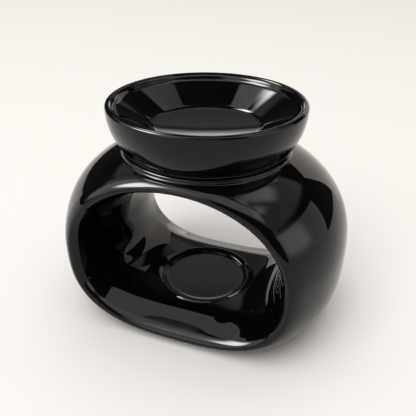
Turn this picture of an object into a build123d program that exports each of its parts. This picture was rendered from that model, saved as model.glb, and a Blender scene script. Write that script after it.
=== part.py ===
"""Essential oil burner: a glazed ceramic barrel with a tunnel through it, and a dish that stands on its crown.

The origin is on the table, below the middle of the barrel. X runs across the barrel, Y through the tunnel
from front (minus) to back, and Z up. All lengths are in millimetres.
"""

import math
import os

from build123d import *

# Barrel, the outer form of the body
body_width = 136.0
body_depth = 84.0
crown_height = 91.6
middle_height = 42.0
keel_drop = 50.5
rim_side_inset = 14.5
rim_crown_inset = 6.8
rim_keel_inset = 11.7
taper_power = 2.2
crown_power = 2.34
rim_crown_power = 2.06
keel_power = 2.65

# Rims, where the barrel turns into the tunnel: the wall there is a share of the rounding
rim_round = 2.5
rim_wall_share = 1.57

# Tunnel, which flares from its waist to both rims. Its floor stays level over a platform in the middle and
# slopes away from there in an apron
waist_side_inset = 9.0
waist_ceiling_inset = 4.5
waist_floor_inset = 7.2
flare_power = 2.2
waist_floor_power = 3.6
platform_reach = 28.0
platform_bend = 3.0

# Hollow side chambers, which keep the thick sides of the casting at an even wall
casting_wall = 5.0
chamber_depth = 60.0
chamber_start = 35.0
chamber_ceiling = 70.0
drain_radius = 2.5

# Tealight place, a shallow well in a raised pad on the tunnel's floor
well_radius = 20.0
well_wall = 1.0
well_lip_width = 3.5
well_lip_rise = 0.6
pad_rise = 0.3
pad_slope_width = 2.6
pad_root = 5.0

# Collar on the crown, its bore and the heat hole below it. The collar stands a little proud of the dish's
# skirt and of the crown beside its bore, and its root is sunk below the crown's sides
collar_margin = 0.2
collar_wall = 4.0
collar_proud = 0.22
collar_sink = 1.7
collar_round = 1.1
bore_depth = 4.9
heat_hole_radius = 26.0

# Dish, whose height is measured from its seat on the collar
dish_rise = 20.7
dish_radius = 44.4
dish_rim_radius = 1.4
dish_rim_width = 4.2
dish_rim_fall = 1.8
bowl_wall_run = 19.9
bowl_depth = 11.7
bowl_floor_fall = 1.7
bowl_rim_drop = 1.2
bowl_crease_round = 9.0
bowl_lip_share = 0.92
dish_wall = 4.0
groove_round = 2.0
skirt_narrowing = 6.1
skirt_lift = 1.2
skirt_step = 1.3
skirt_round = 0.5
spigot_clearance = 0.5
spigot_depth = 3.2
spigot_wall = 3.0

overrun = 10.0
outline_points = 32
section_shares = (0.0, 0.3, 0.55, 0.67, 0.78, 0.9, 1.0)

half_depth = body_depth / 2
half_width = body_width / 2
crown_rise = crown_height - middle_height
rim_wall = rim_wall_share * rim_round


def crown_over(across, along):
    """Height of the barrel's crown over a place that lies across and along from the middle."""
    taper = (along / half_depth) ** taper_power
    reach = half_width - rim_side_inset * taper
    rise = crown_rise - rim_crown_inset * taper
    power = crown_power + (rim_crown_power - crown_power) * taper
    return middle_height + rise * (1 - (across / reach) ** power) ** (1 / power)


skirt_radius = dish_radius - skirt_narrowing
collar_radius = skirt_radius + collar_margin
bore_radius = collar_radius - collar_wall
collar_height = crown_over(0, bore_radius) + collar_proud
collar_root_height = crown_over(collar_radius, 0) - collar_sink
dish_height = collar_height + dish_rise


def oval_points(reach, rise, drop, top_power, bottom_power):
    """Points of an oval, from its lowest point round. A higher power makes squarer corners."""
    points = []
    for step in range(outline_points):
        angle = 2 * math.pi * step / outline_points - math.pi / 2
        across, up = math.cos(angle), math.sin(angle)
        height, power = (rise, top_power) if up > 0 else (drop, bottom_power)
        bulge = (abs(across) ** power + abs(up) ** power) ** (-1 / power)
        points.append((reach * across * bulge, middle_height + height * up * bulge))
    return points


def barrel_oval(share, inset):
    """The barrel's outline at a share of the way from the middle to a rim, taken in by an inset."""
    taper = abs(share) ** taper_power
    return oval_points(
        half_width - rim_side_inset * taper - inset,
        crown_rise - rim_crown_inset * taper - inset,
        keel_drop - rim_keel_inset * taper - inset,
        crown_power + (rim_crown_power - crown_power) * taper,
        keel_power,
    )


def apron_fall(along):
    """How far the apron has fallen at a place along from the middle, if it fell as far as it reaches."""
    past = along - platform_reach
    return (past + math.hypot(past, platform_bend)) / 2


def tunnel_oval(share, inset):
    """The tunnel's outline at a share of the way from the waist to a rim, taken in by an inset."""
    closing = 1 - abs(share) ** flare_power
    level = 1 - apron_fall(abs(share) * half_depth) / apron_fall(half_depth)
    return oval_points(
        half_width - rim_side_inset - rim_wall - waist_side_inset * closing - inset,
        crown_rise - rim_crown_inset - rim_wall - waist_ceiling_inset * closing - inset,
        keel_drop - rim_keel_inset - rim_wall - waist_floor_inset * level - inset,
        rim_crown_power,
        keel_power + (waist_floor_power - keel_power) * level,
    )


def oval_solid(outline, inset):
    """A solid lofted from front to back through the ovals that an outline function gives."""
    shares = [-share for share in reversed(section_shares[1:])] + list(section_shares)
    sections = []
    for share in shares:
        with BuildSketch(Plane.XZ.offset(-share * half_depth)) as section:
            with BuildLine():
                Spline(*outline(share, inset), periodic=True)
            make_face()
        sections.append(section.sketch)
    with BuildPart() as solid:
        loft(sections)
    return solid.part


# Height of the tunnel's floor at its waist, and the tealight place measured from it
waist_floor_height = middle_height - (keel_drop - rim_keel_inset - rim_wall - waist_floor_inset)
pad_height = waist_floor_height + pad_rise
well_wall_top = pad_height - well_lip_rise
well_floor_height = well_wall_top - well_wall
well_lip_radius = well_radius + well_lip_width


def make_tealight_pad():
    """The raised pad, a low cone frustum with its root inside the floor."""
    with BuildPart() as pad:
        with BuildSketch(Plane.XZ):
            with BuildLine():
                Polyline(
                    (0, pad_height - pad_root),
                    (well_lip_radius + pad_slope_width, pad_height - pad_root),
                    (well_lip_radius + pad_slope_width, pad_height - well_wall - well_lip_rise),
                    (well_lip_radius, pad_height),
                    (0, pad_height),
                    close=True,
                )
            make_face()
        revolve(axis=Axis.Z)
    return pad.part


def make_tealight_well():
    """The space over the pad: a flat round floor, a short upright wall and a wide sloping lip."""
    with BuildPart() as well:
        with BuildSketch(Plane.XZ):
            with BuildLine():
                Polyline(
                    (0, well_floor_height),
                    (well_radius, well_floor_height),
                    (well_radius, well_wall_top),
                    (well_lip_radius, pad_height),
                    (well_lip_radius + overrun, pad_height + overrun),
                    (0, pad_height + overrun),
                    close=True,
                )
            make_face()
        revolve(axis=Axis.Z)
    return well.part


def make_chambers():
    """The hollow left and right chambers inside the barrel's sides, each with a drain hole in the foot."""
    chamber_width = half_width - chamber_start
    with BuildPart() as chambers:
        with BuildSketch(Plane.XY.offset(casting_wall)):
            with Locations(
                (-chamber_start - chamber_width / 2, 0),
                (chamber_start + chamber_width / 2, 0),
            ):
                Rectangle(chamber_width, chamber_depth)
        extrude(amount=chamber_ceiling - casting_wall)
        add(oval_solid(barrel_oval, casting_wall), mode=Mode.INTERSECT)
        add(oval_solid(tunnel_oval, -casting_wall), mode=Mode.SUBTRACT)
        with BuildSketch(Plane.XY.offset(-overrun)):
            with Locations((-chamber_start - drain_radius, 0), (chamber_start + drain_radius, 0)):
                Circle(drain_radius)
        extrude(amount=overrun + casting_wall + drain_radius)
    return chambers.part


# Burner body: the barrel with its tunnel and rounded rims, cut flat at the foot
with BuildPart() as burner_body:
    add(oval_solid(barrel_oval, 0))
    add(oval_solid(tunnel_oval, 0), mode=Mode.SUBTRACT)
    rims = burner_body.faces().filter_by(GeomType.PLANE).sort_by(Axis.Y)
    fillet(rims[0].edges() + rims[-1].edges(), rim_round)
    with BuildSketch(Plane.XY):
        Rectangle(body_width, body_depth)
    extrude(amount=-keel_drop, mode=Mode.SUBTRACT)

    # Collar on the crown
    with BuildSketch(Plane.XY.offset(collar_root_height)):
        Circle(collar_radius)
    extrude(amount=collar_height - collar_root_height)
    with BuildSketch(Plane.XY.offset(collar_height - bore_depth)):
        Circle(bore_radius)
    extrude(amount=bore_depth + overrun, mode=Mode.SUBTRACT)
    collar_top = burner_body.faces().sort_by(Axis.Z)[-1]
    fillet(collar_top.edges(), collar_round)

    # Heat hole from the collar's bore down into the tunnel
    with BuildSketch(Plane.XY.offset(middle_height)):
        Circle(heat_hole_radius)
    extrude(amount=collar_height - middle_height, mode=Mode.SUBTRACT)

    # Tealight place
    add(make_tealight_pad())
    add(make_tealight_well(), mode=Mode.SUBTRACT)

    # Hollow chambers with their drain holes
    add(make_chambers(), mode=Mode.SUBTRACT)

# Oil dish: rim, bowl, outer skirt, resting face and the spigot that drops into the collar
rim_centre_height = dish_height - dish_rim_radius
bowl_floor_height = dish_height - bowl_depth
bowl_floor_radius = dish_radius - bowl_wall_run
skirt_height = collar_height + skirt_lift
spigot_radius = bore_radius - spigot_clearance

# From its crest the rim falls inwards on a wider arc, which runs on straight for a little into the bowl
crest_radius = dish_radius - dish_rim_radius
bowl_edge_radius = dish_radius - dish_rim_width
rim_reach = crest_radius - bowl_edge_radius
rim_bend = (rim_reach**2 + dish_rim_fall**2) / (2 * dish_rim_fall)
rim_turn = math.asin(rim_reach / rim_bend)
rim_inner_way = (math.cos(rim_turn), math.sin(rim_turn))
bowl_wall_radius = bowl_edge_radius - bowl_rim_drop * rim_inner_way[0]
bowl_wall_height = dish_height - dish_rim_fall - bowl_rim_drop * rim_inner_way[1]

# The bowl's floor is a shallow arc, level in its middle
floor_bend = (bowl_floor_radius**2 + bowl_floor_fall**2) / (2 * bowl_floor_fall)
floor_turn = math.degrees(math.asin(bowl_floor_radius / floor_bend))

# The skirt is an arc that leaves the rim upright and ends at the skirt's foot
skirt_fall = rim_centre_height - skirt_height
skirt_bend = (skirt_fall**2 + skirt_narrowing**2) / (2 * skirt_narrowing)
skirt_turn = math.degrees(math.asin(skirt_fall / skirt_bend))

# Under the bowl the wall keeps one thickness, down to where it meets the spigot
bowl_slope = math.atan2(bowl_wall_height - bowl_floor_height, bowl_wall_radius - bowl_floor_radius)
bowl_lip_round = bowl_lip_share * bowl_rim_drop / math.tan((rim_turn - bowl_slope) / 2)
under_floor_height = bowl_floor_height - bowl_floor_fall - dish_wall
under_floor_narrowing = bowl_floor_fall / math.tan(bowl_slope)
under_floor_radius = bowl_floor_radius + dish_wall * math.tan(bowl_slope / 2) - under_floor_narrowing
groove_radius = bowl_edge_radius
groove_height = under_floor_height + (groove_radius - under_floor_radius) * math.tan(bowl_slope)

bowl_floor_middle = (0, bowl_floor_height - bowl_floor_fall)
bowl_floor_edge = (bowl_floor_radius, bowl_floor_height)
bowl_wall_top = (bowl_wall_radius, bowl_wall_height)
rim_inside = (bowl_edge_radius, dish_height - dish_rim_fall)
rim_crest = (crest_radius, dish_height)
rim_outside = (dish_radius, rim_centre_height)
skirt_foot = (skirt_radius, skirt_height)
skirt_recess = (skirt_radius - skirt_step, skirt_height)
spigot_outer_foot = (spigot_radius, collar_height - spigot_depth)
spigot_inner_foot = (spigot_radius - spigot_wall, collar_height - spigot_depth)
groove_foot = (spigot_radius - spigot_wall, skirt_height)
groove_top = (groove_radius, groove_height)
under_floor_edge = (under_floor_radius, under_floor_height)

with BuildPart() as oil_dish:
    with BuildSketch(Plane.XZ) as dish_section:
        with BuildLine():
            JernArc(bowl_floor_middle, (1, 0), floor_bend, floor_turn)
            Polyline(bowl_floor_edge, bowl_wall_top, rim_inside)
            JernArc(rim_inside, rim_inner_way, rim_bend, -math.degrees(rim_turn))
            JernArc(rim_crest, (1, 0), dish_rim_radius, -90)
            JernArc(rim_outside, (0, -1), skirt_bend, -skirt_turn)
            Polyline(
                skirt_foot,
                skirt_recess,
                (skirt_radius - skirt_step, collar_height),
                (spigot_radius, collar_height),
                spigot_outer_foot,
                spigot_inner_foot,
                groove_foot,
                (groove_radius - dish_wall, skirt_height + dish_wall),
                groove_top,
                under_floor_edge,
                (0, under_floor_height),
                bowl_floor_middle,
            )
        make_face()
        for corner, radius in (
            (bowl_floor_edge, bowl_crease_round),
            (bowl_wall_top, bowl_lip_round),
            (skirt_foot, skirt_round),
            (spigot_outer_foot, skirt_round),
            (spigot_inner_foot, skirt_round),
            (groove_foot, skirt_round),
            (groove_top, groove_round),
            (under_floor_edge, groove_round),
        ):
            fillet(dish_section.vertices().sort_by_distance(corner)[0], radius)
    revolve(axis=Axis.Z)

burner_body.part.label = "burner_body"
oil_dish.part.label = "oil_dish"

os.makedirs("parts", exist_ok=True)
export_step(burner_body.part, "parts/burner_body.step")
export_step(oil_dish.part, "parts/oil_dish.step")
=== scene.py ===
"""Looks of the essential oil burner: a black glazed barrel with a tunnel, and the dish on its crown.

All lengths are in metres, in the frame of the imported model: the origin is on the table below the middle of
the barrel, X runs across the barrel, Y through the tunnel from front (minus) to back, and Z up.
"""

import logging
import math
from dataclasses import dataclass
from enum import Enum
from typing import Callable, Sequence

import bmesh
import bpy
import numpy as np
from mathutils import Matrix, Vector
from mathutils.bvhtree import BVHTree


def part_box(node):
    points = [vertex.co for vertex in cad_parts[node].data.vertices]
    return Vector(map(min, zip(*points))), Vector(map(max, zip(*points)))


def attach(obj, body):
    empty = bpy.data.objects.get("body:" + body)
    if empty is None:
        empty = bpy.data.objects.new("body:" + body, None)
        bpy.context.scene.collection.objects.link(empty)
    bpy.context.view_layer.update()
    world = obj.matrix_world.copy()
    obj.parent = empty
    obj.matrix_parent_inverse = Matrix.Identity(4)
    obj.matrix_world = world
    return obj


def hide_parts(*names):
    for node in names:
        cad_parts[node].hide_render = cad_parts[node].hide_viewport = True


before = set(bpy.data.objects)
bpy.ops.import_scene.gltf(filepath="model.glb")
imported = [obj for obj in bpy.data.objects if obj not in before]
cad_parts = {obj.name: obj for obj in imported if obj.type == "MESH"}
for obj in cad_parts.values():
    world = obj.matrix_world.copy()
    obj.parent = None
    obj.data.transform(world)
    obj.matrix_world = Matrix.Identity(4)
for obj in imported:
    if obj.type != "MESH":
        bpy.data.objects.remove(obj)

log = logging.getLogger("oil_burner")

Point = tuple[float, float]
Colour = tuple[float, float, float, float]
Curve = Callable[[np.ndarray, float], np.ndarray]

MM = 0.001
MERGE_DISTANCE = 0.002 * MM
CUT_TOLERANCE = 0.001 * MM
TOP_CLEARANCE = 0.01 * MM

# A Mix node's colour sockets
FIRST_COLOUR = 6
SECOND_COLOUR = 7
MIXED_COLOUR = 2


def deselect_all() -> None:
    """Leaves object mode with nothing selected and nothing active."""
    if bpy.context.object and bpy.context.object.mode != "OBJECT":
        bpy.ops.object.mode_set(mode="OBJECT")
    bpy.ops.object.select_all(action="DESELECT")


def make_active(piece: bpy.types.Object) -> None:
    """Selects one object alone and makes it the active one.

    Args:
        piece: The object that the next operators act on.
    """
    deselect_all()
    piece.select_set(True)
    bpy.context.view_layer.objects.active = piece


def recalculate_outside(piece: bpy.types.Object) -> None:
    """Merges doubled points and turns every face outwards.

    Args:
        piece: A closed mesh object.
    """
    make_active(piece)
    bpy.ops.object.mode_set(mode="EDIT")
    bpy.ops.mesh.select_all(action="SELECT")
    bpy.ops.mesh.remove_doubles(threshold=MERGE_DISTANCE)
    bpy.ops.mesh.normals_make_consistent(inside=False)
    bpy.ops.object.mode_set(mode="OBJECT")


class Cut(Enum):
    """What a helper mesh does to the piece it is applied to."""

    ADD = "UNION"
    REMOVE = "DIFFERENCE"


def combine(piece: bpy.types.Object, helper: bpy.types.Object, cut: Cut) -> None:
    """Joins a helper mesh to a piece or cuts it out, and deletes the helper.

    Args:
        piece: The mesh object that is changed.
        helper: The closed mesh object that is used up.
        cut: Whether the helper is added or removed.
    """
    make_active(piece)
    modifier = piece.modifiers.new("combine", "BOOLEAN")
    modifier.operation = cut.value
    modifier.object = helper
    modifier.solver = "EXACT"
    bpy.ops.object.modifier_apply(modifier=modifier.name)
    bpy.data.objects.remove(helper)


def smooth(piece: bpy.types.Object, degrees: float = 32.0) -> None:
    """Shades a piece smooth, apart from its sharp edges.

    Args:
        piece: The mesh object.
        degrees: Edges that turn by more than this stay sharp.
    """
    make_active(piece)
    bpy.ops.object.shade_smooth_by_angle(angle=math.radians(degrees))


def round_corner(before: Point, corner: Point, after: Point, radius: float, steps: int) -> list[Point]:
    """Points of an arc that rounds one corner of an outline.

    Args:
        before: The outline's point before the corner.
        corner: The corner.
        after: The outline's point after the corner.
        radius: Radius of the rounding.
        steps: Number of segments in the arc.

    Returns:
        The arc's points, in the outline's own order.
    """
    centre = Vector(corner)
    towards_before = (Vector(before) - centre).normalized()
    towards_after = (Vector(after) - centre).normalized()
    half_angle = towards_before.angle(towards_after) / 2
    setback = radius / math.tan(half_angle)
    hub = centre + (towards_before + towards_after).normalized() * radius / math.sin(half_angle)
    start = centre + towards_before * setback - hub
    end = centre + towards_after * setback - hub
    sweep = start.angle(end)
    points = []
    for step in range(steps + 1):
        share = step / steps
        arm = (start * math.sin((1 - share) * sweep) + end * math.sin(share * sweep)) / math.sin(sweep)
        points.append(tuple(hub + arm))
    return points


def rounded_outline(corners: Sequence[tuple[float, float, float]], steps: int = 8) -> list[Point]:
    """An outline whose corners are rounded, each by its own radius.

    Args:
        corners: Radius from the axis, height and rounding of each corner. A rounding of 0 leaves it sharp.
        steps: Number of segments in each rounding.

    Returns:
        The outline's points as (radius from the axis, height).
    """
    points: list[Point] = []
    for index, (across, up, radius) in enumerate(corners):
        if radius == 0:
            points.append((across, up))
            continue
        before, after = corners[index - 1][:2], corners[(index + 1) % len(corners)][:2]
        points += round_corner(before, (across, up), after, radius, steps)
    return points


def divided(points: Sequence[Point], longest: float) -> list[Point]:
    """The same outline with its long stretches divided.

    Args:
        points: The outline's points.
        longest: The longest stretch that is left whole.

    Returns:
        The outline with more points on its straight stretches.
    """
    result = [points[0]]
    for start, end in zip(points, points[1:]):
        parts = max(1, math.ceil(math.dist(start, end) / longest))
        for part in range(1, parts + 1):
            share = part / parts
            result.append((start[0] + (end[0] - start[0]) * share, start[1] + (end[1] - start[1]) * share))
    return result


def turned(name: str, outline: Sequence[Point], segments: int) -> bpy.types.Object:
    """A closed solid of revolution about Z, thrown ring by ring from a circle.

    Args:
        name: Name of the new object.
        outline: Outline from axis to axis, as (radius, height). Both end points lie on the axis.
        segments: Number of segments round the axis.

    Returns:
        The new mesh object.
    """
    deselect_all()
    rings = [point for point in outline if point[0] > 0]
    radius, height = rings[0]
    bpy.ops.mesh.primitive_circle_add(vertices=segments, radius=radius, location=(0, 0, height))
    piece = bpy.context.object
    piece.name = piece.data.name = name
    bpy.ops.object.transform_apply(location=True, rotation=True, scale=True)
    bpy.ops.object.mode_set(mode="EDIT")
    bpy.ops.mesh.select_all(action="SELECT")
    close_to_axis(radius, outline[0][1] - height)
    for across, up in rings[1:]:
        bpy.ops.mesh.extrude_region_move(TRANSFORM_OT_translate={"value": (0, 0, up - height)})
        scale = across / radius
        bpy.ops.transform.resize(value=(scale, scale, 1), center_override=(0, 0, up))
        radius, height = across, up
    close_to_axis(radius, outline[-1][1] - height)
    bpy.ops.object.mode_set(mode="OBJECT")
    recalculate_outside(piece)
    return piece


def ring_of_sections(name: str, sections: Sequence[np.ndarray]) -> bpy.types.Object:
    """A closed ring, a torus whose sections are given their own shapes.

    Args:
        name: Name of the new object.
        sections: Closed sections in order round the ring, each an array of (x, y, z) rows of equal number.

    Returns:
        The new mesh object.
    """
    reach = float(np.abs(sections[0]).max())
    deselect_all()
    bpy.ops.mesh.primitive_torus_add(
        major_segments=len(sections), minor_segments=len(sections[0]),
        major_radius=reach, minor_radius=reach / 2, generate_uvs=False,
    )
    piece = bpy.context.object
    piece.name = piece.data.name = name
    piece.data.vertices.foreach_set("co", np.concatenate(sections).ravel())
    piece.data.update()
    recalculate_outside(piece)
    return piece


def close_to_axis(radius: float, rise: float) -> None:
    """Closes the selected ring with a fan to one point on the axis, and keeps the ring selected.

    Args:
        radius: Radius of the selected ring.
        rise: Height of the fan's point above the ring.
    """
    mesh = bpy.context.object.data
    shape = bmesh.from_edit_mesh(mesh)
    ring = [vertex for vertex in shape.verts if vertex.select]
    edges = [edge for edge in shape.edges if edge.select]
    tip = shape.verts.new((0, 0, ring[0].co.z + rise))
    for edge in edges:
        shape.faces.new((*edge.verts, tip))
    tip.select = False
    bmesh.update_edit_mesh(mesh)


@dataclass
class OilDish:
    """The round dish: rolled rim, bowl, outer skirt and the locating ring under it."""

    top: float
    seat_height: float

    # The rim and the bowl
    outer_radius: float = 44.39 * MM
    rim_radius: float = 1.4 * MM
    rim_width: float = 4.2 * MM
    rim_fall: float = 1.8 * MM
    floor_radius: float = 24.5 * MM
    bowl_depth: float = 11.7 * MM
    floor_fall: float = 1.7 * MM
    bowl_rim_drop: float = 1.2 * MM
    crease_round: float = 9.0 * MM
    lip_round: float = 3.4 * MM
    wall: float = 4.0 * MM
    groove_round: float = 2.0 * MM

    # The skirt and the locating ring
    skirt_radius: float = 38.3 * MM
    skirt_step: float = 1.3 * MM
    skirt_lift: float = 1.2 * MM
    spigot_radius: float = 34.0 * MM
    spigot_wall: float = 3.0 * MM
    spigot_depth: float = 3.2 * MM
    edge_round: float = 0.5 * MM

    # How finely the surface is divided
    segments: int = 360
    floor_steps: int = 24
    crease_steps: int = 14
    lip_steps: int = 12
    crest_steps: int = 16
    edge_steps: int = 14
    skirt_steps: int = 32
    longest_stretch: float = 1.2 * MM

    def arc(self, start: Point, heading: float, bend: float, turn: float, steps: int) -> list[Point]:
        """Points of an arc.

        Args:
            start: Where the arc starts.
            heading: The direction in which it starts, in radians.
            bend: Its radius, below zero for an arc that turns anticlockwise.
            turn: The angle that it turns through, with the bend's sign.
            steps: Number of segments in the arc.

        Returns:
            The arc's points after its start.
        """
        hub = (start[0] + bend * math.sin(heading), start[1] - bend * math.cos(heading))
        return [
            (hub[0] - bend * math.sin(heading - turn * step / steps),
             hub[1] + bend * math.cos(heading - turn * step / steps))
            for step in range(1, steps + 1)
        ]

    def bowl_floor(self, height: float, slope: float) -> list[Point]:
        """Points of the bowl's shallow round floor and of the rounding between it and the wall.

        Args:
            height: Height at which the floor and the wall would meet without the rounding.
            slope: The wall's slope, in radians.

        Returns:
            The points, from the floor's middle to the foot of the wall.
        """
        bend = (self.floor_radius**2 + self.floor_fall**2) / (2 * self.floor_fall)
        middle = (0.0, height - self.floor_fall)
        across = self.floor_radius - self.crease_round * math.sin(slope)
        above = self.crease_round * math.cos(slope) + self.floor_fall - bend
        along = across * math.cos(slope) + above * math.sin(slope)
        slide = -along - math.sqrt(along**2 - across**2 - above**2 + (bend - self.crease_round) ** 2)
        hub = (across + slide * math.cos(slope), above + slide * math.sin(slope))
        turn = math.atan2(hub[0], -hub[1])
        floor = self.arc(middle, 0.0, -bend, -turn, self.floor_steps)
        crease = self.arc(floor[-1], turn, -self.crease_round, turn - slope, self.crease_steps)
        return [middle, *floor, *crease]

    def outline(self) -> list[Point]:
        """The dish's section from the middle of the bowl's floor, over the rim, to the middle underneath.

        Returns:
            The outline's points as (radius, height).
        """
        floor = self.top - self.bowl_depth
        bowl_edge = self.outer_radius - self.rim_width
        rim_reach = self.rim_width - self.rim_radius
        rim_bend = (rim_reach**2 + self.rim_fall**2) / (2 * self.rim_fall)
        rim_turn = math.asin(rim_reach / rim_bend)
        rim_inside = (bowl_edge, self.top - self.rim_fall)
        wall_top = (
            rim_inside[0] - self.bowl_rim_drop * math.cos(rim_turn),
            rim_inside[1] - self.bowl_rim_drop * math.sin(rim_turn),
        )
        slope = math.atan2(wall_top[1] - floor, wall_top[0] - self.floor_radius)
        under = floor - self.floor_fall - self.wall
        under_radius = self.floor_radius + self.wall * math.tan(slope / 2)
        under_radius -= self.floor_fall / math.tan(slope)
        groove_height = under + (bowl_edge - under_radius) * math.tan(slope)
        skirt_height = self.seat_height + self.skirt_lift
        foot = self.seat_height - self.spigot_depth
        inner_spigot = self.spigot_radius - self.spigot_wall
        bowl = self.bowl_floor(floor, slope)
        lip = rounded_outline([(*bowl[-1], 0), (*wall_top, self.lip_round), (*rim_inside, 0)], self.lip_steps)
        crest = self.arc(rim_inside, rim_turn, rim_bend, rim_turn, self.crest_steps)
        outer = self.arc(crest[-1], 0.0, self.rim_radius, math.pi / 2, self.edge_steps)
        fall, narrowing = outer[-1][1] - skirt_height, self.outer_radius - self.skirt_radius
        skirt_bend = (fall**2 + narrowing**2) / (2 * narrowing)
        skirt = self.arc(outer[-1], -math.pi / 2, skirt_bend, math.asin(fall / skirt_bend), self.skirt_steps)
        under_side = rounded_outline(
            [
                (*skirt[-2], 0),
                (*skirt[-1], self.edge_round),
                (self.skirt_radius - self.skirt_step, skirt_height, 0),
                (self.skirt_radius - self.skirt_step, self.seat_height, 0),
                (self.spigot_radius, self.seat_height, 0),
                (self.spigot_radius, foot, self.edge_round),
                (inner_spigot, foot, self.edge_round),
                (inner_spigot, skirt_height, self.edge_round),
                (bowl_edge - self.wall, skirt_height + self.wall, 0),
                (bowl_edge, groove_height, self.groove_round),
                (under_radius, under, self.groove_round),
                (0, under, 0),
            ]
        )
        return divided(bowl + lip[1:] + crest + outer + skirt[:-2] + under_side, self.longest_stretch)

    def build(self) -> bpy.types.Object:
        """Throws the dish.

        Returns:
            The dish's mesh object.
        """
        dish = turned("dish_glazed", self.outline(), self.segments)
        smooth(dish)
        return dish


@dataclass
class BurnerBody:
    """The barrel with its tunnel, rims, foot, collar, heat hole and tealight place."""

    seat: float

    # The barrel
    half_width: float = 68.0 * MM
    half_depth: float = 42.0 * MM
    crown: float = 91.6 * MM
    middle: float = 42.0 * MM
    keel_drop: float = 50.5 * MM
    side_taper: float = 14.5 * MM
    crown_taper: float = 6.8 * MM
    keel_taper: float = 11.7 * MM
    taper_power: float = 2.2
    crown_power: float = 2.34
    rim_crown_power: float = 2.06
    keel_power: float = 2.65

    # The rims, with the reach and the drop of each roll, and the tunnel
    rim_wall: float = 3.925 * MM
    outer_roll: Point = (5.0 * MM, 2.1 * MM)
    inner_roll: Point = (3.5 * MM, 1.8 * MM)
    side_flare: float = 9.0 * MM
    ceiling_flare: float = 4.5 * MM
    floor_flare: float = 7.2 * MM
    flare_power: float = 2.2
    platform_reach: float = 28.0 * MM
    platform_bend: float = 3.0 * MM
    waist_floor_power: float = 3.6
    around: int = 256
    outer_rows: int = 64
    inner_rows: int = 84
    rim_steps: int = 9
    slope_step: float = 0.05 * MM

    # The collar, its bore and the heat hole
    collar_radius: float = 38.5 * MM
    collar_wall: float = 4.0 * MM
    collar_root: float = 82.5 * MM
    collar_round: float = 1.1 * MM
    collar_cove: float = 1.2 * MM
    inside: float = 1.5 * MM
    turned_segments: int = 256
    collar_steps: int = 8
    cove_steps: int = 6
    contact_share: float = 0.6
    probe_step: float = 0.4 * MM
    root_dive: float = 0.7 * MM
    root_slope: float = 0.3
    headroom: float = 10.0 * MM
    bore_depth: float = 4.9 * MM
    bore_round: float = 0.8 * MM
    bore_overlap: float = 1.6 * MM
    bore_lift: float = 0.03 * MM
    bore_stretch: float = 3.0 * MM
    heat_hole_radius: float = 26.0 * MM
    heat_hole_round: float = 1.2 * MM

    # The tealight place: its well, its lip and the slope that falls from the lip
    well_radius: float = 20.0 * MM
    well_floor: float = 13.025 * MM
    well_wall: float = 1.0 * MM
    lip_radius: float = 23.5 * MM
    pad_top: float = 14.625 * MM
    crease_round: float = 0.3 * MM
    well_edge_round: float = 0.45 * MM
    lip_round: float = 0.5 * MM
    slope_reach: float = 2.6 * MM
    slope_fall: float = 2.0 * MM
    slope_round: float = 0.6 * MM
    pad_depth: float = 6.0 * MM
    pad_steps: int = 5
    pad_stretch: float = 2.0 * MM
    bite: float = 0.6 * MM
    lip_drop: float = 0.3 * MM
    flare_reach: float = 10.0 * MM
    flare_rise: float = 7.0 * MM

    # The drain holes
    drain_radius: float = 2.5 * MM
    drain_place: float = 37.5 * MM
    drain_depth: float = 9.0 * MM
    drain_segments: int = 40

    def oval(self, angles: np.ndarray, reach: float, rise: float, drop: float,
             top_power: float, bottom_power: float) -> np.ndarray:
        """Points of an oval whose upper and lower halves have powers of their own.

        Args:
            angles: Directions of the points, in radians.
            reach: Half the oval's width.
            rise: Height of its top above the middle.
            drop: Depth of its bottom below the middle.
            top_power: Power of the upper half. A higher power makes squarer corners.
            bottom_power: Power of the lower half.

        Returns:
            An array of (x, z) rows.
        """
        across, up = np.cos(angles), np.sin(angles)
        power = np.where(up > 0, top_power, bottom_power)
        height = np.where(up > 0, rise, drop)
        bulge = (np.abs(across) ** power + np.abs(up) ** power) ** (-1 / power)
        return np.stack([reach * across * bulge, self.middle + height * up * bulge], -1)

    def barrel(self, angles: np.ndarray, depth: float) -> np.ndarray:
        """The barrel's outline at a depth.

        Args:
            angles: Directions of the points, in radians.
            depth: The depth, from the barrel's middle.

        Returns:
            An array of (x, z) rows.
        """
        taper = min(1.0, abs(depth) / self.half_depth) ** self.taper_power
        return self.oval(
            angles,
            self.half_width - self.side_taper * taper,
            self.crown - self.middle - self.crown_taper * taper,
            self.keel_drop - self.keel_taper * taper,
            self.crown_power + (self.rim_crown_power - self.crown_power) * taper,
            self.keel_power,
        )

    def apron_fall(self, depth: float) -> float:
        """Fall of the tunnel's floor: level round the tealight place, then an even slope to the rim."""
        beyond = depth - self.platform_reach
        return (beyond + math.hypot(beyond, self.platform_bend)) / 2

    def tunnel(self, angles: np.ndarray, depth: float) -> np.ndarray:
        """The tunnel's outline at a depth.

        Args:
            angles: Directions of the points, in radians.
            depth: The depth, from the barrel's middle.

        Returns:
            An array of (x, z) rows.
        """
        closing = 1 - min(1.0, abs(depth) / self.half_depth) ** self.flare_power
        level = 1 - self.apron_fall(abs(depth)) / self.apron_fall(self.half_depth)
        return self.oval(
            angles,
            self.half_width - self.side_taper - self.rim_wall - self.side_flare * closing,
            self.crown - self.middle - self.crown_taper - self.rim_wall - self.ceiling_flare * closing,
            self.keel_drop - self.keel_taper - self.rim_wall - self.floor_flare * level,
            self.rim_crown_power,
            self.keel_power + (self.waist_floor_power - self.keel_power) * level,
        )

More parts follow.
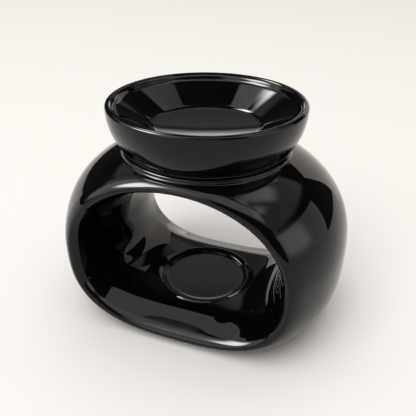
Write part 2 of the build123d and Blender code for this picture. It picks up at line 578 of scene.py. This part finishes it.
    def section(self, angle: float) -> np.ndarray:
        """The wall's closed section in one direction from the barrel's axis.

        Args:
            angle: The direction, in radians.

        Returns:
            An array of (x, y, z) rows: over the barrel to the back, round the back rim, through the tunnel
            to the front and round the front rim.
        """
        one = np.array([angle])
        outer_end = self.barrel(one, self.half_depth)[0]
        inner_end = self.tunnel(one, self.half_depth)[0]
        wall = outer_end - inner_end
        thick = wall / np.linalg.norm(wall)

        def height(curve: Curve, depth: float) -> float:
            """Height of a curve above the rim's inner edge, measured through the wall."""
            return float((curve(one, depth)[0] - inner_end) @ thick)

        def rolled(curve: Curve, roll: Point, side: float) -> list[Point]:
            """Points of a quarter oval that a surface rolls over on, leaning with the surface.

            Args:
                curve: The surface's outline at a depth.
                roll: The roll's reach along the depth and its drop.
                side: 1 where the roll falls from the surface and -1 where it rises to it.

            Returns:
                The points as (depth, height), from the surface to the rim's face.
            """
            reach, drop = roll
            start = self.half_depth - reach
            base = height(curve, start)
            rise = height(curve, start + self.slope_step) - height(curve, start - self.slope_step)
            slope = rise / (2 * self.slope_step)
            points = []
            for turn in np.linspace(0, math.pi / 2, self.rim_steps + 1):
                ahead = reach * math.sin(turn)
                points.append((start + ahead, base + slope * ahead - side * drop * (1 - math.cos(turn))))
            return points

        def surface_row(curve: Curve, depth: float) -> np.ndarray:
            """A point of the barrel's or the tunnel's surface, in the frame."""
            across, up = curve(one, depth)[0]
            return np.array([across, depth, up])

        def rim_row(point: Point, side: float) -> np.ndarray:
            """A point of the rim's rounding, in the frame."""
            place = inner_end + thick * point[1]
            return np.array([place[0], side * point[0], place[1]])

        outer_rim = rolled(self.barrel, self.outer_roll, 1.0)
        inner_rim = rolled(self.tunnel, self.inner_roll, -1.0)
        rim = outer_rim[1:] + inner_rim[:0:-1]
        outer_depths = outer_rim[0][0] * np.linspace(-1, 1, self.outer_rows)
        inner_depths = inner_rim[0][0] * np.linspace(1, -1, self.inner_rows)
        rows = [surface_row(self.barrel, depth) for depth in outer_depths]
        rows += [rim_row(point, 1.0) for point in rim]
        rows += [surface_row(self.tunnel, depth) for depth in inner_depths]
        rows += [rim_row(point, -1.0) for point in reversed(rim)]
        return np.array(rows)

    def ring(self) -> bpy.types.Object:
        """The barrel ring: a torus whose sections are shaped to the wall's own.

        Returns:
            The ring's mesh object.
        """
        angles = np.arange(self.around) * 2 * math.pi / self.around
        sections = [self.section(float(angle)) for angle in angles]
        return ring_of_sections("body_glazed", sections)

    def cut_foot(self, body: bpy.types.Object) -> None:
        """Cuts the barrel flat at the table, and closes the cut.

        Args:
            body: The barrel ring.
        """
        make_active(body)
        bpy.ops.object.mode_set(mode="EDIT")
        bpy.ops.mesh.select_all(action="SELECT")
        bpy.ops.mesh.bisect(plane_co=(0, 0, 0), plane_no=(0, 0, 1), use_fill=True, clear_inner=True,
                            threshold=CUT_TOLERANCE)
        bpy.ops.object.mode_set(mode="OBJECT")

    def collar_section(self, crown: BVHTree, angle: float) -> np.ndarray:
        """The collar's closed section in one direction, with a cove at its root that follows the crown.

        Args:
            crown: The surface of the body without its collar.
            angle: The direction from the collar's axis, in radians.

        Returns:
            An array of (x, y, z) rows.
        """
        out = Vector((math.cos(angle), math.sin(angle), 0))

        def crown_height(radius: float) -> float:
            """Height of the crown at a radius."""
            start = out * radius + Vector((0, 0, self.crown + self.headroom))
            return crown.ray_cast(start, Vector((0, 0, -1)))[0].z

        contact = self.collar_radius + self.contact_share * self.collar_cove
        rise = crown_height(contact + self.probe_step) - crown_height(contact - self.probe_step)
        slope = rise / (2 * self.probe_step)
        slant = math.sqrt(1 + slope**2)
        foot = crown_height(contact) + slope * (self.collar_radius - contact)
        hub = (self.collar_radius + self.collar_cove,
               foot + slope * self.collar_cove + self.collar_cove * slant)
        turns = np.linspace(-math.pi, math.atan2(-1 / slant, slope / slant), self.cove_steps + 1)
        cove = [(hub[0] + self.collar_cove * math.cos(turn), hub[1] + self.collar_cove * math.sin(turn))
                for turn in turns]
        end = cove[-1]
        deep = (end[0] + self.root_dive, end[1] + self.root_dive * (slope - self.root_slope))
        inner = self.collar_radius - self.collar_wall - self.inside
        top = rounded_outline(
            [
                (self.collar_radius, hub[1], 0),
                (self.collar_radius, self.seat, self.collar_round),
                (inner, self.seat, 0),
            ],
            self.collar_steps,
        )[1:]
        floor = [(inner, self.collar_root), (self.collar_radius - self.inside, self.collar_root)]
        loop = [deep] + cove[::-1] + top + floor
        return np.array([[out.x * radius, out.y * radius, height] for radius, height in loop])

    def collar(self, body: bpy.types.Object) -> bpy.types.Object:
        """The collar on the crown.

        Args:
            body: The body, on whose crown the collar stands.

        Returns:
            The collar as a closed ring.
        """
        crown = BVHTree.FromObject(body, bpy.context.evaluated_depsgraph_get())
        angles = np.arange(self.turned_segments) * 2 * math.pi / self.turned_segments
        return ring_of_sections("collar", [self.collar_section(crown, angle) for angle in angles])

    def crown_cutter(self) -> bpy.types.Object:
        """The space inside the collar: its bore, and the heat hole down into the tunnel.

        Returns:
            The space as a closed mesh.
        """
        bore = self.collar_radius - self.collar_wall
        bore_floor = self.seat - self.bore_depth
        lip = self.seat + self.bore_lift
        outline = rounded_outline(
            [
                (0, self.seat + self.headroom, 0),
                (bore + self.bore_overlap, self.seat + self.headroom, 0),
                (bore + self.bore_overlap, lip, 0),
                (bore, lip, self.collar_round),
                (bore, bore_floor, self.bore_round),
                (self.heat_hole_radius, bore_floor, self.heat_hole_round),
                (self.heat_hole_radius, self.middle, 0),
                (0, self.middle, 0),
            ]
        )
        return turned("crown_cutter", divided(outline, self.bore_stretch), self.turned_segments)

    def well_cutter(self) -> bpy.types.Object:
        """The space over the tealight place, which flares outwards above the lip.

        Returns:
            The space as a closed mesh.
        """
        outline = [
            (0, self.well_floor - self.bite),
            (self.lip_radius - self.bite, self.well_floor - self.bite),
            (self.lip_radius - self.bite, self.pad_top - self.lip_drop),
            (self.lip_radius + self.flare_reach, self.pad_top + self.flare_rise),
            (0, self.pad_top + self.flare_rise),
        ]
        return turned("well_cutter", outline, self.turned_segments)

    def pad(self) -> bpy.types.Object:
        """The raised tealight place: floor, short wall, sloping ring, lip and outer slope.

        Returns:
            The place as a closed mesh.
        """
        outline = rounded_outline(
            [
                (0, self.well_floor, 0),
                (self.well_radius, self.well_floor, self.crease_round),
                (self.well_radius, self.well_floor + self.well_wall, self.well_edge_round),
                (self.lip_radius, self.pad_top, self.lip_round),
                (self.lip_radius + self.slope_reach, self.pad_top - self.slope_fall, self.slope_round),
                (self.lip_radius + self.slope_reach, self.pad_top - self.pad_depth, 0),
                (0, self.pad_top - self.pad_depth, 0),
            ],
            self.pad_steps,
        )
        return turned("pad", divided(outline, self.pad_stretch), self.turned_segments)

    def drain(self, side: float) -> bpy.types.Object:
        """One of the two drain holes in the foot.

        Args:
            side: 1 for the hole towards +X and -1 for the other.

        Returns:
            The hole as a closed mesh.
        """
        deselect_all()
        bpy.ops.mesh.primitive_cylinder_add(
            vertices=self.drain_segments, radius=self.drain_radius, depth=2 * self.drain_depth,
            location=(side * self.drain_place, 0, 0),
        )
        bpy.ops.object.transform_apply(location=True, rotation=True, scale=True)
        return bpy.context.object

    def build(self) -> bpy.types.Object:
        """Builds the body.

        Returns:
            The body's mesh object.
        """
        body = self.ring()
        self.cut_foot(body)
        combine(body, self.collar(body), Cut.ADD)
        combine(body, self.crown_cutter(), Cut.REMOVE)
        combine(body, self.well_cutter(), Cut.REMOVE)
        combine(body, self.pad(), Cut.ADD)
        for side in (-1.0, 1.0):
            combine(body, self.drain(side), Cut.REMOVE)
        smooth(body)
        return body


class Signal:
    """A number or vector inside a node tree. Its operators add Math nodes to the tree."""

    def __init__(self, nodes: "NodeBuilder", socket: bpy.types.NodeSocket) -> None:
        """Wraps one output socket of a tree."""
        self.nodes = nodes
        self.socket = socket

    def calculate(self, operation: str, *values: "Signal | float") -> "Signal":
        """Adds one Math node that works on the given values."""
        return self.nodes.add("ShaderNodeMath", {"operation": operation}, dict(enumerate(values)))

    def __add__(self, other: "Signal | float") -> "Signal":
        """The sum."""
        return self.calculate("ADD", self, other)

    def __mul__(self, other: "Signal | float") -> "Signal":
        """The product."""
        return self.calculate("MULTIPLY", self, other)

    def __truediv__(self, other: "Signal | float") -> "Signal":
        """The quotient."""
        return self.calculate("DIVIDE", self, other)

    def __radd__(self, other: float) -> "Signal":
        """The sum, with the number first."""
        return self.calculate("ADD", other, self)

    def __rsub__(self, other: float) -> "Signal":
        """The difference, with the number first."""
        return self.calculate("SUBTRACT", other, self)

    def __rmul__(self, other: float) -> "Signal":
        """The product, with the number first."""
        return self.calculate("MULTIPLY", other, self)

    def __abs__(self) -> "Signal":
        """The size without its sign."""
        return self.calculate("ABSOLUTE", self)

    def at_most(self, limit: "Signal | float") -> "Signal":
        """The smaller of this and a limit."""
        return self.calculate("MINIMUM", self, limit)

    def at_least(self, limit: "Signal | float") -> "Signal":
        """The larger of this and a limit."""
        return self.calculate("MAXIMUM", self, limit)

    def eased(self, low: float, high: float) -> "Signal":
        """0 below one value, 1 above another, with an eased rise between them."""
        return self.nodes.add(
            "ShaderNodeMapRange", {"interpolation_type": "SMOOTHSTEP"},
            {"Value": self, "From Min": low, "From Max": high},
        )


class NodeBuilder:
    """Adds nodes to one tree and links them."""

    def __init__(self, tree: bpy.types.NodeTree) -> None:
        """Empties the tree."""
        self.tree = tree
        tree.nodes.clear()

    def add(self, kind: str, settings: dict[str, object] | None = None,
            inputs: dict[int | str, object] | None = None, output: int | str = 0) -> Signal:
        """Adds one node.

        Args:
            kind: The node's type.
            settings: The node's own settings, such as a Math node's operation.
            inputs: Values or signals for its sockets, by name or number.
            output: The output that the returned signal stands for.

        Returns:
            The chosen output, or the first input of a node that has no output.
        """
        node = self.tree.nodes.new(kind)
        for name, value in (settings or {}).items():
            setattr(node, name, value)
        for name, value in (inputs or {}).items():
            if isinstance(value, Signal):
                self.tree.links.new(value.socket, node.inputs[name])
            else:
                node.inputs[name].default_value = value
        return Signal(self, node.outputs[output] if node.outputs else node.inputs[0])

    def mix(self, factor: Signal | float, first: object, second: object) -> Signal:
        """A colour between two colours.

        Args:
            factor: 0 for the first colour and 1 for the second.
            first: A colour or a signal.
            second: A colour or a signal.

        Returns:
            The mixed colour.
        """
        inputs = {"Factor": factor, FIRST_COLOUR: first, SECOND_COLOUR: second}
        return self.add("ShaderNodeMix", {"data_type": "RGBA"}, inputs, MIXED_COLOUR)

    def scaled(self, vector: Signal | tuple[float, float, float], factor: Signal) -> Signal:
        """A colour or vector times a number."""
        inputs = {0: vector, "Scale": factor}
        return self.add("ShaderNodeVectorMath", {"operation": "SCALE"}, inputs, "Vector")

    def dot(self, first: Signal, second: Vector) -> Signal:
        """The dot product of two vectors."""
        inputs = {0: first, 1: second}
        return self.add("ShaderNodeVectorMath", {"operation": "DOT_PRODUCT"}, inputs, "Value")

    def place(self) -> Signal:
        """The surface's place in the object's own coordinates, in metres."""
        return self.add("ShaderNodeTexCoord", output="Object")

    def noise(self, scale: float, detail: float, roughness: float = 0.5) -> Signal:
        """Soft noise over the object, from about 0 to 1.

        Args:
            scale: Waves per metre.
            detail: Octaves of finer noise.
            roughness: Strength of each finer octave.

        Returns:
            The noise.
        """
        inputs = {"Vector": self.place(), "Scale": scale, "Detail": detail, "Roughness": roughness}
        return self.add("ShaderNodeTexNoise", {}, inputs)


def new_material(name: str) -> tuple[bpy.types.Material, NodeBuilder]:
    """An empty material, and the builder that fills its tree."""
    material = bpy.data.materials.new(name)
    material.use_nodes = True
    return material, NodeBuilder(material.node_tree)


def towards(azimuth: float, elevation: float) -> Vector:
    """The direction with an azimuth, from +Y towards +X, and an elevation, both in degrees."""
    turn, climb = math.radians(azimuth), math.radians(elevation)
    return Vector((math.sin(turn) * math.cos(climb), math.cos(turn) * math.cos(climb), math.sin(climb)))


@dataclass(frozen=True)
class Mottle:
    """Patches of noise: none where the noise is below its low value, and full above its high one."""

    scale: float
    detail: float
    low: float
    high: float
    roughness: float = 0.5

    def spread(self, nodes: NodeBuilder) -> Signal:
        """The strength of the patches, from 0 to 1."""
        return nodes.noise(self.scale, self.detail, self.roughness).eased(self.low, self.high)


@dataclass(frozen=True)
class BlackGlaze:
    """Fired black gloss glaze: a deep colour that thins a little in clouds and specks, with a wet gloss."""

    name: str
    deep: Colour = (0.0013, 0.0012, 0.0012, 1.0)
    thin: Colour = (0.0034, 0.0027, 0.0023, 1.0)
    clouds: Mottle = Mottle(scale=38.0, detail=4.0, low=0.35, high=0.7, roughness=0.55)
    cloud_share: float = 0.8
    specks: Mottle = Mottle(scale=1900.0, detail=1.0, low=0.66, high=0.74)
    speck_share: float = 0.5
    speck_roughness: float = 0.03
    satin: Mottle = Mottle(scale=75.0, detail=3.0, low=0.42, high=0.78)
    smoothest: float = 0.012
    roughest: float = 0.055
    ior: float = 1.33
    ripple_scale: float = 42.0
    ripple_detail: float = 1.0
    ripple_height: float = 0.05 * MM
    peel_scale: float = 620.0
    peel_detail: float = 1.5
    peel_height: float = 0.0012 * MM

    def build(self) -> bpy.types.Material:
        """Makes the material.

        Returns:
            The material.
        """
        material, nodes = new_material(self.name)
        specks = self.specks.spread(nodes)
        tone = (self.clouds.spread(nodes) * self.cloud_share + specks * self.speck_share).at_most(1.0)
        dulling = self.satin.spread(nodes) * (self.roughest - self.smoothest)
        roughness = self.smoothest + dulling + specks * self.speck_roughness
        ripple = nodes.noise(self.ripple_scale, self.ripple_detail)
        peel = nodes.noise(self.peel_scale, self.peel_detail)
        height = ripple * self.ripple_height + peel * self.peel_height
        bump = nodes.add("ShaderNodeBump", {}, {"Height": height, "Strength": 1.0, "Distance": 1.0})
        colour = nodes.mix(tone, self.deep, self.thin)
        inputs = {"Base Color": colour, "Roughness": roughness, "IOR": self.ior, "Normal": bump}
        surface = nodes.add("ShaderNodeBsdfPrincipled", {}, inputs)
        nodes.add("ShaderNodeOutputMaterial", {}, {"Surface": surface})
        return material


@dataclass(frozen=True)
class PaleFloor:
    """The plain matt sheet that the burner stands on. It runs out level to all sides."""

    colour: Colour = (0.939, 0.928, 0.890, 1.0)
    half_side: float = 3.0

    def build(self) -> bpy.types.Object:
        """Lays the sheet.

        Returns:
            The floor object.
        """
        deselect_all()
        bpy.ops.mesh.primitive_plane_add(size=2 * self.half_side, location=(0, 0, 0))
        floor = bpy.context.object
        floor.name = "floor"
        material, nodes = new_material("pale_sheet")
        surface = nodes.add("ShaderNodeBsdfDiffuse", {}, {"Color": self.colour})
        nodes.add("ShaderNodeOutputMaterial", {}, {"Surface": surface})
        floor.data.materials.append(material)
        return floor


@dataclass(frozen=True)
class Softbox:
    """A soft rectangular light far off, as the glaze reflects it. All its angles are in degrees.

    Its lean is how far its upright sides run towards lower azimuths for each unit that they rise. It fades
    out where rays turn away from it, between two values of their forward part.
    """

    azimuth: float
    elevation: float
    half_width: float
    half_height: float
    strength: float
    softness: float
    lean: float = 0.0
    fade_start: float = 0.1
    fade_end: float = 0.05

    def shine(self, nodes: NodeBuilder, ray: Signal) -> Signal:
        """Brightness of this light along a ray.

        Args:
            nodes: The tree to add to.
            ray: The ray's direction.

        Returns:
            The brightness.
        """
        ahead = towards(self.azimuth, self.elevation)
        level = towards(self.azimuth + 90, 0)
        upright = level.cross(ahead)
        forward = nodes.dot(ray, ahead)
        depth = forward.at_least(self.fade_end)
        soft = math.tan(math.radians(self.softness))
        light: Signal | float = self.strength
        for axis, half in ((level + upright * self.lean, self.half_width), (upright, self.half_height)):
            edge = math.tan(math.radians(half))
            reach = abs(nodes.dot(ray, axis) / depth)
            light = light * (1 - reach.eased(edge - soft / 2, edge + soft / 2))
        return light * forward.eased(self.fade_end, self.fade_start)


SOFTBOXES = (
    # The strong light at the left and its halo
    Softbox(azimuth=-119, elevation=42, half_width=13, half_height=11, strength=34, softness=11),
    Softbox(azimuth=-128, elevation=34, half_width=36, half_height=28, strength=2.0, softness=16),
    # Overhead, towards the front
    Softbox(azimuth=160, elevation=73, half_width=36, half_height=15, strength=2.2, softness=9),
    # The window at the right, brightest at its upper right, and the dimmer wall above it
    Softbox(azimuth=84, elevation=14, half_width=31, half_height=17, strength=0.9, softness=1.5, lean=0.25),
    Softbox(azimuth=94, elevation=19, half_width=17, half_height=12, strength=1.6, softness=12),
    Softbox(azimuth=70, elevation=50, half_width=32, half_height=13, strength=0.6, softness=6),
    Softbox(azimuth=48, elevation=61, half_width=7, half_height=9, strength=2.2, softness=8),
    # What the bowl mirrors
    Softbox(azimuth=17, elevation=56, half_width=8, half_height=10, strength=1.0, softness=1.5),
    Softbox(azimuth=-57, elevation=58, half_width=3.5, half_height=8, strength=1.9, softness=1.5),
    Softbox(azimuth=-45, elevation=48, half_width=5, half_height=4, strength=26, softness=5),
    Softbox(azimuth=-20, elevation=15, half_width=2, half_height=2, strength=5, softness=7),
    # The room in front, and the wall at the left
    Softbox(azimuth=180, elevation=12, half_width=32, half_height=19, strength=0.8, softness=6),
    Softbox(azimuth=-82, elevation=36, half_width=13, half_height=12, strength=0.6, softness=6),
    Softbox(azimuth=-56, elevation=36, half_width=9, half_height=9, strength=0.4, softness=5),
    # The pale wall far behind, above and beside the backdrop
    Softbox(azimuth=-16, elevation=30, half_width=12, half_height=9, strength=0.24, softness=3),
    Softbox(azimuth=-16, elevation=38, half_width=14, half_height=4, strength=0.35, softness=3),
)


@dataclass(frozen=True)
class Reflector:
    """A glowing rectangular sheet that only the glaze sees, tilted up about X by an angle in degrees."""

    name: str
    centre: tuple[float, float, float]
    width: float
    height: float
    tilt: float
    colour: Colour
    strength: float

    def build(self) -> bpy.types.Object:
        """Sets up the sheet, which glows on the side that faces up before the tilt.

        Returns:
            The sheet object.
        """
        deselect_all()
        bpy.ops.mesh.primitive_plane_add(size=1, rotation=(math.radians(self.tilt), 0, 0))
        sheet = bpy.context.object
        sheet.name = self.name
        sheet.scale = (self.width, self.height, 1)
        sheet.location = self.centre
        bpy.ops.object.transform_apply(location=True, rotation=True, scale=True)
        material, nodes = new_material(self.name)
        back = nodes.add("ShaderNodeNewGeometry", output="Backfacing")
        colour = nodes.mix(back, self.colour, (0.0, 0.0, 0.0, 1.0))
        glow = nodes.add("ShaderNodeEmission", {}, {"Color": colour, "Strength": self.strength})
        nodes.add("ShaderNodeOutputMaterial", {}, {"Surface": glow})
        sheet.data.materials.append(material)
        sheet.visible_camera = sheet.visible_diffuse = sheet.visible_shadow = False
        return sheet


# The pale backdrop close behind the burner, its brighter foot at the left, and a card under the tunnel's
# ceiling that lights the apron
REFLECTORS = (
    Reflector(
        "backdrop", centre=(80 * MM, 300 * MM, 117.5 * MM), width=220 * MM, height=235 * MM, tilt=90,
        colour=(1.0, 0.92, 0.84, 1.0), strength=1.2,
    ),
    Reflector(
        "backdrop_foot", centre=(-88 * MM, 300 * MM, 62 * MM), width=116 * MM, height=124 * MM, tilt=90,
        colour=(1.0, 0.93, 0.86, 1.0), strength=1.9,
    ),
    Reflector(
        "ceiling_card", centre=(-22 * MM, -33 * MM, 66 * MM), width=38 * MM, height=18 * MM, tilt=180,
        colour=(1.0, 1.0, 1.0, 1.0), strength=1.7,
    ),
)


@dataclass(frozen=True)
class Studio:
    """The light round the burner: a soft sky, one large key lamp, and what the glaze reflects.

    The sky has one level all round and a crest overhead, which a higher focus gathers near the zenith.
    """

    background: Colour = (0.982, 0.947, 0.896, 1.0)
    horizon: Colour = (1.0, 0.7, 0.45, 1.0)
    zenith: Colour = (1.0, 1.02, 1.06, 1.0)
    sky_level: float = 0.3
    sky_crest: float = 1.75
    sky_focus: float = 6.0
    mirrored_tint: tuple[float, float, float] = (1.0, 0.995, 0.985)
    room: float = 0.03
    key_azimuth: float = -168.0
    key_elevation: float = 52.0
    key_distance: float = 3.0
    key_side: float = 2.3
    key_power: float = 44.0
    key_colour: tuple[float, float, float] = (1.0, 1.01, 1.03)

    def reflected(self, nodes: NodeBuilder, ray: Signal) -> Signal:
        """What a mirror ray sees: the softboxes, and otherwise a dim room.

        Args:
            nodes: The world's tree.
            ray: The ray's direction.

        Returns:
            The brightness along the ray.
        """
        total: Signal | float = self.room
        for softbox in SOFTBOXES:
            total = total + softbox.shine(nodes, ray)
        return total

    def build(self) -> None:
        """Sets the world, the key lamp and the view."""
        scene = bpy.context.scene
        scene.view_settings.view_transform = "Standard"
        world = bpy.data.worlds.new("studio")
        world.use_nodes = True
        scene.world = world
        nodes = NodeBuilder(world.node_tree)
        camera_ray = nodes.add("ShaderNodeLightPath", output="Is Camera Ray")
        glossy_ray = nodes.add("ShaderNodeLightPath", output="Is Glossy Ray")
        ray = nodes.add("ShaderNodeTexCoord", output="Generated")
        mirrored = nodes.scaled(self.mirrored_tint, self.reflected(nodes, ray))
        rise = nodes.add("ShaderNodeSeparateXYZ", {}, {0: ray}, "Z").at_least(0.0)
        glow = rise.calculate("POWER", rise, self.sky_focus) * self.sky_crest + self.sky_level
        sky = nodes.scaled(nodes.mix(rise, self.horizon, self.zenith), glow)
        colour = nodes.mix(camera_ray, nodes.mix(glossy_ray, sky, mirrored), self.background)
        light = nodes.add("ShaderNodeBackground", {}, {"Color": colour, "Strength": 1.0})
        nodes.add("ShaderNodeOutputWorld", {}, {"Surface": light})
        away = towards(self.key_azimuth, self.key_elevation)
        data = bpy.data.lights.new("key", "AREA")
        data.shape = "SQUARE"
        data.size = self.key_side
        data.energy = self.key_power
        data.color = self.key_colour
        lamp = bpy.data.objects.new("key", data)
        lamp.location = away * self.key_distance
        lamp.rotation_euler = away.to_track_quat("Z", "Y").to_euler()
        lamp.visible_glossy = False
        scene.collection.objects.link(lamp)


@dataclass
class PhotoCamera:
    """The camera at the photograph's viewing angle. Its angles are in degrees."""

    image_pixels: float = 416.0
    focal_pixels: float = 521.83
    pitch: float = 29.78
    azimuth: float = 20.05
    roll: float = 0.43
    distance: float = 254.76 * MM
    look_height: float = 53.34 * MM
    side_step: float = 0.8 * MM
    sensor: float = 36.0
    nearest: float = 1.0 * MM

    def build(self) -> bpy.types.Object:
        """Places the camera and makes it the scene's own.

        Returns:
            The camera object.
        """
        roll = math.radians(self.roll)
        right = towards(90 - self.azimuth, 0)
        forward = towards(-self.azimuth, -self.pitch)
        up = right.cross(forward)
        turned_right = right * math.cos(roll) + up * math.sin(roll)
        turned_up = up * math.cos(roll) - right * math.sin(roll)
        place = Vector((0, 0, self.look_height)) + right * self.side_step - forward * self.distance
        data = bpy.data.cameras.new("photo_camera")
        data.sensor_width = self.sensor
        data.lens = self.focal_pixels / self.image_pixels * self.sensor
        data.clip_start = self.nearest
        camera = bpy.data.objects.new("photo_camera", data)
        turn = Matrix((turned_right, turned_up, -forward)).transposed()
        camera.matrix_world = Matrix.Translation(place) @ turn.to_4x4()
        bpy.context.scene.collection.objects.link(camera)
        bpy.context.scene.camera = camera
        return camera


def main() -> None:
    """Builds the scene in order and reports each piece."""
    logging.basicConfig(level=logging.INFO, format="%(name)s: %(message)s")
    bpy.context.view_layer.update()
    PhotoCamera().build()
    Studio().build()
    PaleFloor().build()
    for reflector in REFLECTORS:
        reflector.build()
    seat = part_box("burner_body")[1][2]
    body = BurnerBody(seat=seat).build()
    dish = OilDish(top=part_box("oil_dish")[1][2] - TOP_CLEARANCE, seat_height=seat).build()
    for piece, finish, rider, node, slot in (
        (body, BlackGlaze("body_black_glaze"), "body", "burner_body", "body_glaze"),
        (dish, BlackGlaze("dish_black_glaze"), "dish", "oil_dish", "dish_glaze"),
    ):
        piece.data.materials.clear()
        piece.data.materials.append(finish.build())
        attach(piece, rider)
        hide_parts(node)
        log.info("%s: %d vertices", piece.name, len(piece.data.vertices))


if __name__ == "__main__":
    main()
